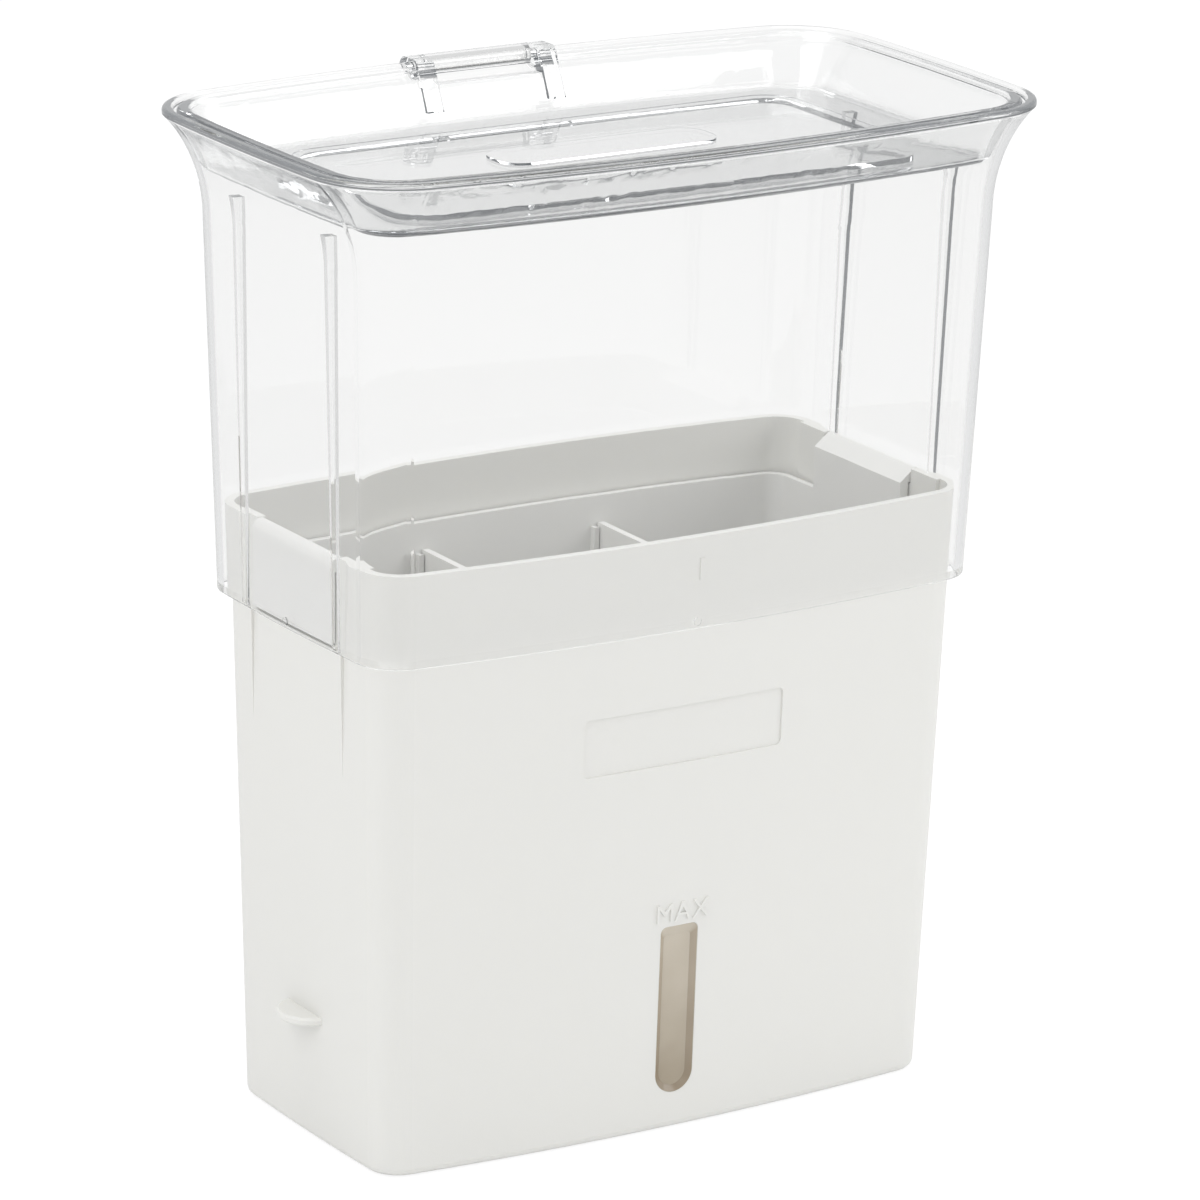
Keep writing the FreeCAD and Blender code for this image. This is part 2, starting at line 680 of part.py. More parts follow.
def cut_field(body):
    """Bare field: a curved cut that keeps the same depth across the crowned face."""
    full = volume(body)
    depth = reservoir_section(S["field_bottom"])[1]
    drop = depth * (S["collar_half_depth"] - BASE_DEPTH) / S["collar_height"]
    sketch = new_sketch(body, "FieldSketch", "XY_Plane", S["field_bottom"] + drop, FRONT_LEAN)
    half = S["field_half"]
    radius = S["front_crown"] - S["field_depth"]
    centre_y = S["front_crown"] - depth
    swing = math.asin(half.value / radius.value)
    start = -math.pi / 2 - swing
    end = -math.pi / 2 + swing
    arc = add_arc(sketch, (0.0, centre_y.value), radius.value, start, end)
    pin_point(sketch, arc, 3, ZERO, centre_y)
    set_radius(sketch, arc, radius)
    front = depth + PAST
    arc_y = centre_y.value + radius.value * math.sin(start)
    left = Vector(-half.value, arc_y, 0)
    right = Vector(half.value, arc_y, 0)
    front_right = Vector(half.value, -front.value, 0)
    front_left = Vector(-half.value, -front.value, 0)
    first = sketch.addGeometry(Part.LineSegment(right, front_right), False)
    second = sketch.addGeometry(Part.LineSegment(front_right, front_left), False)
    third = sketch.addGeometry(Part.LineSegment(front_left, left), False)
    for before, after in ((arc, first), (first, second), (second, third), (third, arc)):
        sketch.addConstraint(Sketcher.Constraint("Coincident", before, 2, after, 1))
    sketch.addConstraint(Sketcher.Constraint("Vertical", first))
    sketch.addConstraint(Sketcher.Constraint("Vertical", third))
    pin_point(sketch, second, 1, half, -front)
    pin_point(sketch, second, 2, -half, -front)
    extrude(body, "Pocket", "Field", sketch, S["field_height"], True)
    full = must_shrink(body, full, "Field")

    def field_corner(box):
        at_end = abs(abs(box.Center.x) - half.value) < CLOSE and box.XLength < CLOSE
        return at_end and box.ZLength < S["field_depth"].value and box.Center.y < 0

    round_edges(body, "FieldRound", field_corner, S["field_corner"])
    must_grow(body, full, "FieldRound")


def add_letters(body):
    """Raised filling mark over the window."""
    full = volume(body)
    sunk = S["wall"] / 2
    sketch = front_sketch(body, "MarkSketch", -sunk)
    for outline in letter_outlines():
        polygon(sketch, outline)
    extrude(body, "Pad", "Mark", sketch, sunk + S["letter_relief"])
    must_grow(body, full, "Mark")


def add_ridges(body):
    """Small ridges, front and back, that the cover's lower edge passes."""
    full = volume(body)
    top = S["collar_height"] - S["ridge_drop"]
    foot = top - S["ridge_height"]
    sunk = S["wall"] / 2
    sketch = front_sketch(body, "RidgeSketch", -sunk)
    rectangle(sketch, S["ridge_shift"] - S["ridge_half"], S["ridge_shift"] + S["ridge_half"],
              foot, top)
    ridge = extrude(body, "Pad", "Ridge", sketch, sunk + S["ridge_relief"])
    full = must_grow(body, full, "Ridge")
    mirror(body, "RidgeBehind", [ridge], "XZ_Plane")
    must_grow(body, full, "RidgeBehind")


def letter_outlines():
    """Plain block letters M, A and X of the filling mark, as closed outlines."""
    tall = S["letter_height"]
    half = S["letter_width"] / 2
    pitch = S["letter_width"] + S["letter_gap"]
    stroke, slant, elbow = S["letter_stroke"], S["letter_slant"], S["letter_elbow"]
    low = S["window_top"] + S["letter_lift"]
    high = low + tall
    notch = high - S["letter_notch"]
    letter_m = [
        (-half, low), (stroke - half, low), (stroke - half, high - elbow),
        (ZERO, notch), (half - stroke, high - elbow), (half - stroke, low),
        (half, low), (half, high), (half - stroke, high), (ZERO, notch + elbow),
        (stroke - half, high), (-half, high)]
    bar_low = low + S["letter_bar"]
    bar_high = bar_low + stroke
    share_low = (half - slant) * (bar_low - low) / tall
    share_high = (half - slant) * (bar_high - low) / tall
    letter_a = [
        (-half, low), (slant - half, low), (slant - half + share_low, bar_low),
        (half - slant - share_low, bar_low), (half - slant, low), (half, low),
        (slant / 2, high), (-(slant / 2), high)]
    counter = [
        (slant - half + share_high, bar_high), (half - slant - share_high, bar_high),
        (ZERO, high - elbow)]
    middle = low + tall / 2
    waist = S["letter_waist"]
    letter_x = [
        (-half, low), (slant - half, low), (ZERO, middle - waist), (half - slant, low),
        (half, low), (waist, middle), (half, high), (half - slant, high),
        (ZERO, middle + waist), (slant - half, high), (-half, high), (-waist, middle)]
    word = S["window_shift"] + S["letter_shift"]
    placed = []
    for centre, outline in ((word - pitch, letter_m), (word, letter_a), (word, counter),
                            (word + pitch, letter_x)):
        placed.append([(centre + x, y) for x, y in outline])
    return placed


def make_window():
    """Smoked window let in from the inside: a flange and a bevelled plug in the opening."""
    body = new_body("level_window")
    face, fit = S["window_set_back"], S["window_fit"]
    depth = S["bevel_depth"] + S["window_floor"]
    plug = front_sketch(body, "PlugSketch", -face)
    window_outline(plug, -fit, S["window_corner"])
    extrude(body, "Pad", "Plug", plug, depth, True)
    full = volume(body)
    lip = S["window_lip"] + fit
    flange = front_sketch(body, "FlangeSketch", -lip)
    window_outline(flange, S["window_overlap"] - fit, S["window_corner"])
    extrude(body, "Pad", "Flange", flange, face + depth - lip, True)
    full = must_grow(body, full, "Flange")
    mouth = front_sketch(body, "BevelMouth", -face)
    window_outline(mouth, -S["bevel_land"], S["window_corner"])
    floor = front_sketch(body, "BevelFloor", -(face + S["bevel_depth"]))
    window_outline(floor, -(S["bevel_land"] + S["bevel_run"]), S["bevel_corner"],
                   S["bevel_head"])
    loft(body, "SubtractiveLoft", "Bevel", [mouth, floor], True)
    must_shrink(body, full, "Bevel")
    return body


# ------------------------------------------------------------------- basket

BASKET_INSET = S["wall"] + S["basket_gap"]
BASKET_END = RECESS_INSIDE - S["basket_gap"]
BASKET_DEPTH = reservoir_section(S["basket_bottom"])[1] - BASKET_INSET
BASKET_MOUTH = reservoir_section(BASKET_TOP)[1] - BASKET_INSET
BASKET_LEAN = lean(BASKET_DEPTH, BASKET_MOUTH, BASKET_TOP - S["basket_bottom"])


def basket_inside(height):
    """Half depth of the basket's inside at a height."""
    share = (height - S["basket_bottom"]) / (BASKET_TOP - S["basket_bottom"])
    return BASKET_DEPTH + (BASKET_MOUTH - BASKET_DEPTH) * share - S["basket_wall"]


def basket_width(height):
    """Half width of the basket's outside, which ends inside the recessed wall."""
    low = reservoir_section(S["basket_bottom"])[0] - BASKET_INSET
    share = (height - S["basket_bottom"]) / (BASKET_TOP - S["basket_bottom"])
    return low + (BASKET_END - low) * share


def make_basket():
    body = new_body("basket")
    low, high = S["basket_bottom"], BASKET_TOP
    outer = [inset_section(body, "UnderOutline", low, BASKET_INSET, basket_width(low)),
             inset_section(body, "BrimOutline", high, BASKET_INSET, basket_width(high))]
    loft(body, "AdditiveLoft", "Outside", outer, True)
    full = volume(body)
    inner = []
    for name, height in (("InnerFloorOutline", BASKET_FLOOR), ("InnerBrimOutline", high)):
        inner.append(inset_section(body, name, height, BASKET_INSET + S["basket_wall"],
                                   basket_width(height) - S["basket_wall"]))
    loft(body, "SubtractiveLoft", "Inside", inner, True)
    must_shrink(body, full, "Inside")
    add_tabs(body)
    cut_drains(body)
    add_rails(body)
    return body


def add_tabs(body):
    """Lifting tabs: each hooks over the recessed wall and hangs down outside."""
    full = volume(body)
    top = S["collar_height"]
    inside = BASKET_END - S["basket_wall"] - S["tab_stem"]
    stem = BASKET_END + S["tab_stem"]
    under = top - S["tab_cap"]
    root = BASKET_TOP - S["tab_cap"]
    skirt_inner = RECESS_FACE + S["tab_seat"]
    cap_outer = S["collar_half_width"]
    skirt_outer = cap_outer - S["tab_inset"]
    crest = cap_outer - S["tab_crest"]
    crease = top - S["tab_round"] - S["tab_crease"]
    skirt_foot = top - S["tab_drop"]
    profile = [(inside, root), (stem, root), (stem, under), (skirt_inner, under),
               (skirt_inner, skirt_foot), (skirt_outer, skirt_foot), (skirt_outer, crease),
               (cap_outer, crease), (cap_outer, top), (crest, top),
               (inside, top - S["tab_fall"])]
    for end, side in LEFT_RIGHT:
        sketch = new_sketch(body, "TabSketch" + end, "XZ_Plane", -TAB_HALF)
        polygon(sketch, [(x * side, y) for x, y in profile])
        extrude(body, "Pad", "Tab" + end, sketch, TAB_HALF * 2)
        full = must_grow(body, full, "Tab" + end)

    def tab_edge(box):
        outer_edge = abs(abs(box.Center.x) - cap_outer.value) < CLOSE
        return outer_edge and box.ZMin > top.value - CLOSE and box.YLength > TAB_HALF.value

    round_edges(body, "TabRound", tab_edge, S["tab_round"])
    must_shrink(body, full, "TabRound")


def cut_drains(body):
    """Rows of drain slots in the floor and low in the two long walls."""
    full = volume(body)
    low = S["basket_bottom"]
    half = S["drain_width"] / 2
    sketch = new_sketch(body, "FloorSlotSketch", "XY_Plane", low)
    for _, side in FRONT_BACK:
        centre = S["drain_offset"] * side
        rectangle(sketch, -half, half, centre - S["drain_length"] / 2,
                  centre + S["drain_length"] / 2)
    floor_slot = extrude(body, "Pocket", "FloorSlot", sketch, S["basket_floor"] + PAST, True)
    full = must_shrink(body, full, "FloorSlot")
    sill = BASKET_FLOOR + S["drain_sill"]
    sketch = new_sketch(body, "WallSlotSketch", "XZ_Plane", -BASE_DEPTH)
    rectangle(sketch, -half, half, sill, sill + S["drain_rise"])
    wall_slot = extrude(body, "Pocket", "WallSlot", sketch, BASE_DEPTH * 2, True)
    full = must_shrink(body, full, "WallSlot")
    pitch = S["drain_pitch"]
    room = basket_width(low).value - S["base_corner"].value - S["drain_width"].value
    for end, side in LEFT_RIGHT:
        row = body.newObject("PartDesign::LinearPattern", "SlotRow" + end)
        row.Originals = [floor_slot, wall_slot]
        row.Direction = (origin_plane(body, "X_Axis"), [""])
        row.Reversed = side < 0
        row.Mode = "Spacing"
        row.Offset = pitch.value
        bind(row, "Offset", pitch)
        row.Occurrences = int(room // pitch.value) + 1
        body.Tip = row
        full = must_shrink(body, full, "SlotRow" + end)


def add_rails(body):
    """Upright rails that hold the dividers, leaning with the long walls."""
    full = volume(body)
    sketch = new_sketch(body, "RailSketch", "XY_Plane", BASKET_FLOOR, BASKET_LEAN)
    wall_face = basket_inside(BASKET_FLOOR)
    near = S["divider_thickness"] / 2 + S["divider_gap"]
    for _, side in LEFT_RIGHT:
        middle = S["divider_offset"] * side
        for _, hand in LEFT_RIGHT:
            left, right = ordered(middle + near * hand,
                                  middle + (near + S["rail_width"]) * hand)
            rectangle(sketch, left, right, -(wall_face + S["basket_wall"] / 2),
                      -(wall_face - S["rail_reach"]))
    rails = extrude(body, "Pad", "Rails", sketch, DIVIDER_TOP - BASKET_FLOOR)
    full = must_grow(body, full, "Rails")
    mirror(body, "RailsBehind", [rails], "XZ_Plane")
    must_grow(body, full, "RailsBehind")


def make_divider(label, side):
    """Upright plate across the basket with a finger notch in its top edge."""
    body = new_body(label)
    low = BASKET_FLOOR + S["divider_gap"]
    high = DIVIDER_TOP
    # The crowned walls come in a little at the dividers' distance from the middle.
    crown = S["divider_offset"] * S["divider_offset"] / (S["front_crown"] * 2)
    foot = basket_inside(low) - S["divider_gap"] - crown
    head = basket_inside(high) - S["divider_gap"] - crown
    notch = S["notch_half"]
    slope = notch - S["notch_depth"] / 2
    dip = high - S["notch_depth"]
    start = S["divider_offset"] * side - S["divider_thickness"] / 2
    sketch = new_sketch(body, "PlateSketch", "YZ_Plane", start)
    polygon(sketch, [(-foot, low), (foot, low), (head, high), (notch, high), (slope, dip),
                     (-slope, dip), (-notch, high), (-head, high)])
    extrude(body, "Pad", "Plate", sketch, S["divider_thickness"])
    return body


# -------------------------------------------------------------------- cover

def flare_share(height):
    """How far the flare has opened at a height, from 0 at the shoulder to 1 at the rim."""
    turn = math.radians(S["flare_turn"].value)
    rise = (height - SHOULDER) / (FLARE_TOP - SHOULDER)
    opened = 1 - math.sqrt(1 - min(1.0, rise.value * math.sin(turn)) ** 2)
    sine = rise.text + " * sin(Sizes.flare_turn * 1deg)"
    text = "((1 - sqrt(1 - (" + sine + ")^2)) / (1 - cos(Sizes.flare_turn * 1deg)))"
    return Size(opened / (1 - math.cos(turn)), text)


def cover_section(height):
    """Half width, half depth and corner radius of the cover's outside, and its wall."""
    if height.value <= SHOULDER.value + CLOSE:
        share = (height - COVER_BOTTOM) / (SHOULDER - COVER_BOTTOM)
        ends = [(COVER_WIDTH, SHOULDER_WIDTH), (COVER_DEPTH, SHOULDER_DEPTH),
                (S["cover_corner"], S["shoulder_corner"])]
        wall = S["cover_wall"]
    else:
        share = flare_share(height)
        ends = [(SHOULDER_WIDTH, RIM_WIDTH), (SHOULDER_DEPTH, RIM_DEPTH),
                (S["shoulder_corner"], S["rim_corner"])]
        wall = S["cover_wall"] + (S["rim_width"] - S["cover_wall"]) * share
    sizes = [low + (high - low) * share for low, high in ends]
    return sizes[0], sizes[1], sizes[2], wall


def cover_outline(body, name, height, inset, at=None):
    """A section parallel to the cover's outside, moved in by one size.

    Its outline is the one at its own height, or at another height where one is given.
    """
    width, depth, corner, _ = cover_section(at if at is not None else height)
    return crowned_sketch(body, name, height, width - inset, depth - inset, corner - inset,
                          S["front_crown"] - inset, S["side_crown"] - inset)


def flare_heights(low):
    heights = []
    for index in range(FLARE_SECTIONS):
        heights.append(low + (FLARE_TOP - low) * (index / (FLARE_SECTIONS - 1)))
    return heights


def flare_loft(body, kind, name, low, inset_at):
    """A smooth loft from one height up to the rim's upright band."""
    sketches = []
    for index, height in enumerate(flare_heights(low)):
        sketches.append(cover_outline(body, name + str(index), height, inset_at(height)))
    loft(body, kind, name, sketches, False)


def rounded_edge(body, name, start, inset_at, radius, up, outer, at=None):
    """Sections of a quarter round, from a level face at start into an upright wall.

    It runs upwards where up is 1 and downwards where up is -1, and it eases an outer
    edge where outer is 1 and an inner edge where outer is -1.
    """
    sketches = []
    for turn in EDGE_TURNS:
        angle = math.radians(turn)
        height = start + radius * ((1 - math.cos(angle)) * up)
        inset = inset_at(height) + radius * ((1 - math.sin(angle)) * outer)
        sketches.append(cover_outline(body, name + str(int(turn)), height, inset, at))
    return sketches


def rounded_rim(body, name, top, inset):
    """The upright band of a rim, with a round on its upper edge."""
    band = cover_outline(body, name + "Outline", FLARE_TOP, inset)
    extrude(body, "Pad", name, band, top - FLARE_TOP - S["rim_round"])
    edge = rounded_edge(body, name + "Edge", top, lambda height: inset, S["rim_round"], -1, 1,
                        FLARE_TOP)
    loft(body, "AdditiveLoft", name + "Round", edge, False)


def rounded_mouth(body, name, top, inset):
    """Cuts the upright part inside a rim, with a round on its upper edge."""
    full = volume(body)
    past = cover_outline(body, name + "Past", top + PAST, inset - S["rim_round"], FLARE_TOP)
    edge = rounded_edge(body, name + "Edge", top, lambda height: inset, S["rim_round"], -1, -1,
                        FLARE_TOP)
    foot = cover_outline(body, name + "Foot", FLARE_TOP, inset)
    loft(body, "SubtractiveLoft", name, [past] + edge + [foot], True)
    must_shrink(body, full, name)


def cover_wall(height):
    return cover_section(height)[3]


def make_cover():
    body = new_body("cover_sleeve")
    low, shoulder = COVER_BOTTOM, SHOULDER
    edge = rounded_edge(body, "LowerEdge", low, lambda height: ZERO, S["lower_edge"], 1, 1)
    loft(body, "AdditiveLoft", "LowerRound", edge, False)
    outer = [cover_outline(body, "LowerOutline", low + S["lower_edge"], ZERO),
             cover_outline(body, "ShoulderOutline", shoulder, ZERO)]
    loft(body, "AdditiveLoft", "Skirt", outer, True)
    flare_loft(body, "AdditiveLoft", "Flare", shoulder, lambda height: ZERO)
    rounded_rim(body, "Rim", RIM_TOP, ZERO)
    full = volume(body)
    inner = [cover_outline(body, "LowerInner", low, S["cover_wall"]),
             cover_outline(body, "ShoulderInner", shoulder, S["cover_wall"])]
    loft(body, "SubtractiveLoft", "SkirtInside", inner, True)
    full = must_shrink(body, full, "SkirtInside")
    flare_loft(body, "SubtractiveLoft", "FlareInside", shoulder, cover_wall)
    full = must_shrink(body, full, "FlareInside")
    rounded_mouth(body, "RimInside", RIM_TOP, S["rim_width"])
    full = volume(body)
    bevel = [cover_outline(body, "LeadOutline", low, S["cover_wall"] - S["lead_in"]),
             cover_outline(body, "LeadTop", low + S["lead_height"], S["cover_wall"])]
    loft(body, "SubtractiveLoft", "LeadIn", bevel, True)
    must_shrink(body, full, "LeadIn")
    add_ribs(body)
    add_nubs(body)
    add_barrel(body)
    return body


def add_ribs(body):
    """Four ribs inside the narrow walls, which run in the reservoir's channels."""
    full = volume(body)
    foot = RECESS_FACE + S["rib_room"]
    slope = S["rib_lean"] / (RIB_TOP - COVER_BOTTOM)
    heights = [COVER_BOTTOM + S["lower_edge"], SHOULDER, RIB_TOP]
    for end, side in LEFT_RIGHT:
        for face, hand in FRONT_BACK:
            centre = S["rib_offset"] * hand
            sketches = []
            for index, height in enumerate(heights):
                width, _, _, wall = cover_section(height)
                near = foot + slope * (height - COVER_BOTTOM)
                left, right = ordered(near * side, (width - wall / 2) * side)
                sketch = new_sketch(body, "Rib" + end + face + str(index), "XY_Plane", height)
                rectangle(sketch, left, right, centre - S["rib_width"] / 2,
                          centre + S["rib_width"] / 2)
                sketches.append(sketch)
            loft(body, "AdditiveLoft", "RibBody" + end + face, sketches, True)
            full = must_grow(body, full, "RibBody" + end + face)


def add_nubs(body):
    """Small nubs on the lower edge, at the middle of each face."""
    full = volume(body)
    height = COVER_BOTTOM + S["nub_height"]
    width, depth, _, wall = cover_section(height)
    for role, distance in (("XZ_Plane", depth), ("YZ_Plane", width)):
        tag = role[:2]
        sketch = new_sketch(body, "Nub" + tag, role, distance - wall / 2)
        disc(sketch, ZERO, height, S["nub_radius"])
        nub = extrude(body, "Pad", "NubPad" + tag, sketch, wall / 2 + S["nub_relief"])
        full = must_grow(body, full, "NubPad" + tag)
        mirror(body, "NubBehind" + tag, [nub], role)
        full = must_grow(body, full, "NubBehind" + tag)


def add_barrel(body):
    """Hinge barrel on the rear rim, the slots for the lid's ears and the bore."""
    full = volume(body)
    half = S["barrel_half"]
    sketch = new_sketch(body, "BarrelSketch", "YZ_Plane", HINGE_X - half)
    disc(sketch, HINGE_Y, HINGE_Z, S["knuckle_radius"])
    extrude(body, "Pad", "Barrel", sketch, half * 2)
    full = must_grow(body, full, "Barrel")
    slot_end = half + S["ear_width"] + S["hinge_gap"] * 2
    slot_foot = HINGE_Z - S["knuckle_radius"] - S["hinge_gap"]
    back = HINGE_Y + S["knuckle_radius"] + S["hinge_gap"] + PAST
    front = HINGE_Y - S["slot_reach"]
    sketch = new_sketch(body, "EarSlotSketch", "XY_Plane", slot_foot)
    for _, side in LEFT_RIGHT:
        left, right = ordered(HINGE_X + half * side, HINGE_X + slot_end * side)
        rectangle(sketch, left, right, front, back)
    extrude(body, "Pocket", "EarSlots", sketch, RIM_TOP - slot_foot + PAST, True)
    full = must_shrink(body, full, "EarSlots")
    sketch = new_sketch(body, "BoreSketch", "YZ_Plane", HINGE_X - half - PAST)
    disc(sketch, HINGE_Y, HINGE_Z, S["pin_radius"] + S["pin_running"])
    extrude(body, "Pocket", "Bore", sketch, (half + PAST) * 2, True)
    must_shrink(body, full, "Bore")


# ---------------------------------------------------------------------- lid

def tray_inset(height):
    """Distance from the cover's outside to the outside of the lid's wall."""
    return cover_section(height)[3] + S["lid_gap"]


def dish_inset(height):
    """Distance from the cover's outside to the inside of the lid's wall."""
    share = (height - TRAY_BOTTOM) / (FLARE_TOP - TRAY_BOTTOM)
    return tray_inset(height) + S["tray_wall"] + (S["tray_rim"] - S["tray_wall"]) * share


def make_lid():
    body = new_body("lid")
    edge = rounded_edge(body, "TrayEdge", TRAY_BOTTOM, tray_inset, S["tray_edge"], 1, 1)
    loft(body, "AdditiveLoft", "TrayRound", edge, False)
    flare_loft(body, "AdditiveLoft", "Tray", TRAY_BOTTOM + S["tray_edge"], tray_inset)
    rounded_rim(body, "LidRim", LID_TOP, tray_inset(FLARE_TOP))
    full = volume(body)
    flare_loft(body, "SubtractiveLoft", "Dish", TRAY_FLOOR, dish_inset)
    must_shrink(body, full, "Dish")
    rounded_mouth(body, "Mouth", LID_TOP, dish_inset(FLARE_TOP))
    add_panel(body)
    open_for_barrel(body)
    add_ears(body)
    return body


def add_panel(body):
    """Raised panel with a matching hollow under it, and the bare badge on it."""
    full = volume(body)
    width, depth, _, _ = cover_section(TRAY_FLOOR)
    margin = dish_inset(TRAY_FLOOR) + S["panel_margin"]
    panel = new_sketch(body, "PanelSketch", "XY_Plane", TRAY_FLOOR)
    rounded_rectangle(panel, width - margin, depth - margin, S["panel_corner"])
    extrude(body, "Pad", "Panel", panel, S["panel_rise"])
    full = must_grow(body, full, "Panel")
    under = new_sketch(body, "UnderSketch", "XY_Plane", TRAY_BOTTOM)
    margin = margin + S["tray_floor"]
    rounded_rectangle(under, width - margin, depth - margin,
                      S["panel_corner"] - S["tray_floor"])
    extrude(body, "Pocket", "PanelUnder", under, S["panel_rise"], True)
    full = must_shrink(body, full, "PanelUnder")
    badge = new_sketch(body, "BadgeSketch", "XY_Plane", TRAY_FLOOR + S["panel_rise"])
    rounded_rectangle(badge, S["badge_half_width"], S["badge_half_depth"],
                      S["badge_corner"])
    extrude(body, "Pad", "Badge", badge, S["badge_rise"])
    must_grow(body, full, "Badge")


# Where a leg ends on the inside of the rear wall, and the wall's face there.
LEG_FOOT = TRAY_FLOOR + S["leg_lift"]
LEG_WALL = cover_section(LEG_FOOT)[1] - tray_inset(LEG_FOOT)
LEG_FRONT = LEG_WALL - S["leg_foot"]
EAR_START = S["barrel_half"] + S["hinge_gap"]


def open_for_barrel(body):
    """The opening in the lid's rear wall that clears the barrel."""
    full = volume(body)
    foot = HINGE_Z - S["knuckle_radius"] - S["hinge_gap"] * 2
    sketch = new_sketch(body, "BarrelRoomSketch", "XY_Plane", foot)
    rectangle(sketch, HINGE_X - EAR_START, HINGE_X + EAR_START, LEG_FRONT, RIM_DEPTH)
    extrude(body, "Pocket", "BarrelRoom", sketch, RIM_TOP - foot + PAST, True)
    must_shrink(body, full, "BarrelRoom")


def add_ears(body):
    """Ears on the pin, each with a leg down the inside of the rear wall."""
    full = volume(body)
    knuckle = S["knuckle_radius"]
    head = HINGE_Y - S["leg_head"]
    leg = [(LEG_FRONT, LEG_FOOT), (LEG_WALL - S["tray_wall"] / 2, LEG_FOOT),
           (HINGE_Y - knuckle * 2, HINGE_Z - knuckle), (HINGE_Y, HINGE_Z - knuckle),
           (HINGE_Y, HINGE_Z + knuckle), (head + knuckle / 2, HINGE_Z + knuckle),
           (head, HINGE_Z + knuckle / 2)]
    ears = (("Left", HINGE_X - EAR_START - S["ear_width"]), ("Right", HINGE_X + EAR_START))
    for end, start in ears:
        sketch = new_sketch(body, "KnuckleSketch" + end, "YZ_Plane", start)
        disc(sketch, HINGE_Y, HINGE_Z, knuckle)
        extrude(body, "Pad", "Knuckle" + end, sketch, S["ear_width"])
        sketch = new_sketch(body, "LegSketch" + end, "YZ_Plane", start)
        polygon(sketch, leg)
        extrude(body, "Pad", "Leg" + end, sketch, S["ear_width"])
        full = must_grow(body, full, "Leg" + end)
    reach = EAR_START + S["ear_width"] + PAST
    sketch = new_sketch(body, "PinHoleSketch", "YZ_Plane", HINGE_X - reach)
    disc(sketch, HINGE_Y, HINGE_Z, S["pin_radius"] + S["pin_seat"])
    extrude(body, "Pocket", "PinHole", sketch, reach * 2, True)
    must_shrink(body, full, "PinHole")


def make_pin():
    pin = DOC.addObject("Part::Cylinder", "hinge_pin")
    pin.Label = "hinge_pin"
    half = EAR_START + S["ear_width"]
    start = HINGE_X - half
    bind(pin, "Radius", S["pin_radius"])
    bind(pin, "Height", half * 2)
    place = Vector(start.value, HINGE_Y.value, HINGE_Z.value)
    pin.Placement = Placement(place, Rotation(Vector(0, 1, 0), 90))
    bind(pin, "Placement.Base.x", start)
    bind(pin, "Placement.Base.y", HINGE_Y)
    bind(pin, "Placement.Base.z", HINGE_Z)
    return pin


def main():
    pieces = [
        make_reservoir(),
        make_window(),
        make_basket(),
        make_divider("divider_left", -1),
        make_divider("divider_right", 1),
        make_cover(),
        make_lid(),
        make_pin(),
    ]
    DOC.recompute()
    for item in DOC.Objects:
        if "Invalid" in item.State or "Error" in item.State:
            raise ValueError(item.Name + " failed: " + str(item.State))
    os.makedirs("parts", exist_ok=True)
    for piece in pieces:
        shape = piece.Shape
        if shape.isNull() or not shape.isValid() or len(shape.Solids) != 1:
            raise ValueError(piece.Label + " isn't one valid solid")
    for piece in pieces:
        piece.Shape.exportStep("parts/" + piece.Label + ".step")
        box = piece.Shape.BoundBox
        print("%-14s volume %9.1f  x %.2f..%.2f  y %.2f..%.2f  z %.2f..%.2f" % (
            piece.Label, piece.Shape.Volume, box.XMin, box.XMax, box.YMin, box.YMax,
            box.ZMin, box.ZMax))


main()
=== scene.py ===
import math

import bpy
from mathutils import Matrix, Vector

# Herb keeper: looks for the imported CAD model. Metres, +Z up, window face to -Y.
# The CAD nodes keep their shapes and get procedural materials. The scene adds
# only a floor, a backdrop, lamps and the camera.

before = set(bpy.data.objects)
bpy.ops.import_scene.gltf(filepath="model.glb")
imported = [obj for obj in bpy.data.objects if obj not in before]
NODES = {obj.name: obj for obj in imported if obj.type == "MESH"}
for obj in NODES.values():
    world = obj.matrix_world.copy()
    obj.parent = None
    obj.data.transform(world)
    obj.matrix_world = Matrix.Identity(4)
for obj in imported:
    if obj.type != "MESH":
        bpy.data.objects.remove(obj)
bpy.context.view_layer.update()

# Camera, fitted to the outlines in the photograph's frame of 1200 x 1200 pixels.
AZIMUTH = math.radians(32.576)
ELEVATION = math.radians(17.048)
ROLL = math.radians(1.238)
TARGET = Vector((0.001559, -0.000582, 0.109861))
DISTANCE = 1.44259
SENSOR_MM = 36.0
LENS_MM = 200.54
NEAR_CLIP = 0.05
FAR_CLIP = 30.0

# Colours of the plastics as linear RGB.
WHITE = (0.785, 0.783, 0.752)
BASKET_WHITE = (0.805, 0.803, 0.780)
COVER_CLEAR = (0.953, 0.953, 0.950)
LID_CLEAR = (0.984, 0.986, 0.985)
CLEAR_SHADE = (0.985, 0.985, 0.985)
CLEAR_DEPTH = (0.50, 0.56, 0.62)
SMOKE_HIGH = (0.640, 0.580, 0.482)
SMOKE_LOW = (0.420, 0.358, 0.268)
# Painted shade on the window's bevel: none where it faces down, full where it faces sideways or up.
BEVEL_PLAIN = (1.0, 1.0, 1.0)
BEVEL_PAINTED_SHADE = (0.80, 0.76, 0.72)

OPAQUE_IOR = 1.49
CLEAR_IOR = 1.50
# How far the moulded grain moves the roughness of white plastic either way.
GRAIN_ROUGHNESS = 0.05
# The share of its roughness that clear plastic gains or loses with its haze.
HAZE_SHARE = 0.4
# Inner reflections that the clear plastic follows before light leaves it straight on.
INNER_REFLECTIONS = 3.5
# Heights between which the smoked window turns from its dark to its light tone,
# and how far its cloudiness moves that tone either way.
SMOKE_LOW_Z = 0.010
SMOKE_HIGH_Z = 0.044
SMOKE_CLOUD = 0.12
# Sideways or upward part of a face's direction at which the painted shade on the
# window's bevel starts and is full.
BEVEL_TILT_START = 0.15
BEVEL_TILT_FULL = 0.50
